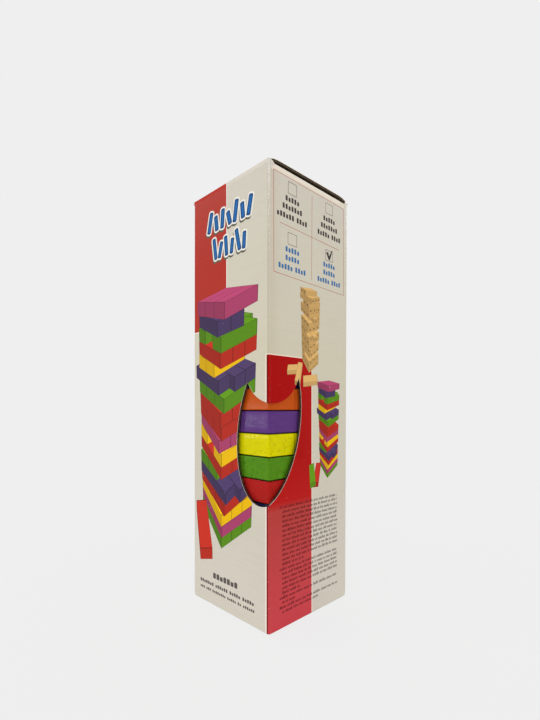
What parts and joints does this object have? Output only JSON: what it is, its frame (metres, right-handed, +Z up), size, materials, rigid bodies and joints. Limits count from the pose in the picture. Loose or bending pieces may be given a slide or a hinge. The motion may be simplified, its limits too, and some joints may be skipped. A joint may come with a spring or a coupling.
{
  "type": "boxed tumbling tower game",
  "caption": "Tall window carton with a hinged tuck lid, holding a shrink-wrapped stacking tower of coloured wooden blocks.",
  "frame": {"origin": "centre of the carton's base, on the surface it stands on", "axes": "+Z up the tower, the lid's hinge wall faces -Y, the window is cut across the vertical corner between the -Y and +X walls"},
  "size_m": [0.0816, 0.0816, 0.2988],
  "materials": {
    "printed_board": "white-lined corrugated board with a glossy varnish over the print",
    "clear_film": "clear shrink film, glossy",
    "paint_green": "satin stain and lacquer on wood",
    "paint_yellow": "satin stain and lacquer on wood",
    "paint_purple": "satin stain and lacquer on wood",
    "paint_orange": "satin stain and lacquer on wood",
    "paint_blue": "satin stain and lacquer on wood",
    "paint_red": "satin stain and lacquer on wood"
  },
  "bodies": {
    "carton": {"carton_body": "printed_board"},
    "lid": {"top_lid": "printed_board"},
    "tuck": {"tuck_flap": "printed_board"},
    "dust_right": {"dust_flap_right": "printed_board"},
    "dust_left": {"dust_flap_left": "printed_board"},
    "tower": {"shrink_film": "clear_film", "layer_01_green_block_left": "paint_green", "layer_01_green_block_middle": "paint_green", "layer_01_green_block_right": "paint_green", "layer_02_yellow_block_front": "paint_yellow", "layer_02_yellow_block_middle": "paint_yellow", "layer_02_yellow_block_back": "paint_yellow", "layer_03_purple_block_left": "paint_purple", "layer_03_purple_block_middle": "paint_purple", "layer_03_purple_block_right": "paint_purple", "layer_04_orange_block_front": "paint_orange", "layer_04_orange_block_middle": "paint_orange", "layer_04_orange_block_back": "paint_orange", "layer_05_blue_block_left": "paint_blue", "layer_05_blue_block_middle": "paint_blue", "layer_05_blue_block_right": "paint_blue", "layer_06_red_block_front": "paint_red", "layer_06_red_block_middle": "paint_red", "layer_06_red_block_back": "paint_red", "layer_07_green_block_left": "paint_green", "layer_07_green_block_middle": "paint_green", "layer_07_green_block_right": "paint_green", "layer_08_yellow_block_front": "paint_yellow", "layer_08_yellow_block_middle": "paint_yellow", "layer_08_yellow_block_back": "paint_yellow", "layer_09_purple_block_left": "paint_purple", "layer_09_purple_block_middle": "paint_purple", "layer_09_purple_block_right": "paint_purple", "layer_10_orange_block_front": "paint_orange", "layer_10_orange_block_middle": "paint_orange", "layer_10_orange_block_back": "paint_orange", "layer_11_blue_block_left": "paint_blue", "layer_11_blue_block_middle": "paint_blue", "layer_11_blue_block_right": "paint_blue", "layer_12_red_block_front": "paint_red", "layer_12_red_block_middle": "paint_red", "layer_12_red_block_back": "paint_red", "layer_13_green_block_left": "paint_green", "layer_13_green_block_middle": "paint_green", "layer_13_green_block_right": "paint_green", "layer_14_yellow_block_front": "paint_yellow", "layer_14_yellow_block_middle": "paint_yellow", "layer_14_yellow_block_back": "paint_yellow", "layer_15_purple_block_left": "paint_purple", "layer_15_purple_block_middle": "paint_purple", "layer_15_purple_block_right": "paint_purple", "layer_16_orange_block_front": "paint_orange", "layer_16_orange_block_middle": "paint_orange", "layer_16_orange_block_back": "paint_orange", "layer_17_blue_block_left": "paint_blue", "layer_17_blue_block_middle": "paint_blue", "layer_17_blue_block_right": "paint_blue", "layer_18_red_block_front": "paint_red", "layer_18_red_block_middle": "paint_red", "layer_18_red_block_back": "paint_red"}
  },
  "joints": [
    {"name": "lid_hinge", "type": "hinge", "parent": "carton", "child": "lid", "pos_m": [0, -0.03995, 0.2974], "axis": [1, 0, 0], "range_deg": [0, 200]},
    {"name": "tuck_hinge", "type": "hinge", "parent": "lid", "child": "tuck", "pos_m": [0, 0.03935, 0.29795], "axis": [1, 0, 0], "range_deg": [0, 40]},
    {"name": "dust_flap_right_hinge", "type": "hinge", "parent": "carton", "child": "dust_right", "pos_m": [0.03995, 0, 0.2953], "axis": [0, 1, 0], "range_deg": [0, 90]},
    {"name": "dust_flap_left_hinge", "type": "hinge", "parent": "carton", "child": "dust_left", "pos_m": [-0.03995, 0, 0.2953], "axis": [0, -1, 0], "range_deg": [0, 90]},
    {"name": "tower_lift", "type": "slide", "parent": "carton", "child": "tower", "axis": [0, 0, 1], "range_m": [0, 0.005]}
  ],
  "couplings": [
    {"joint": "tuck_hinge", "follows": "lid_hinge", "ratio": 0.2},
    {"joint": "dust_flap_right_hinge", "follows": "lid_hinge", "ratio": 0.45},
    {"joint": "dust_flap_left_hinge", "follows": "lid_hinge", "ratio": 0.45}
  ]
}
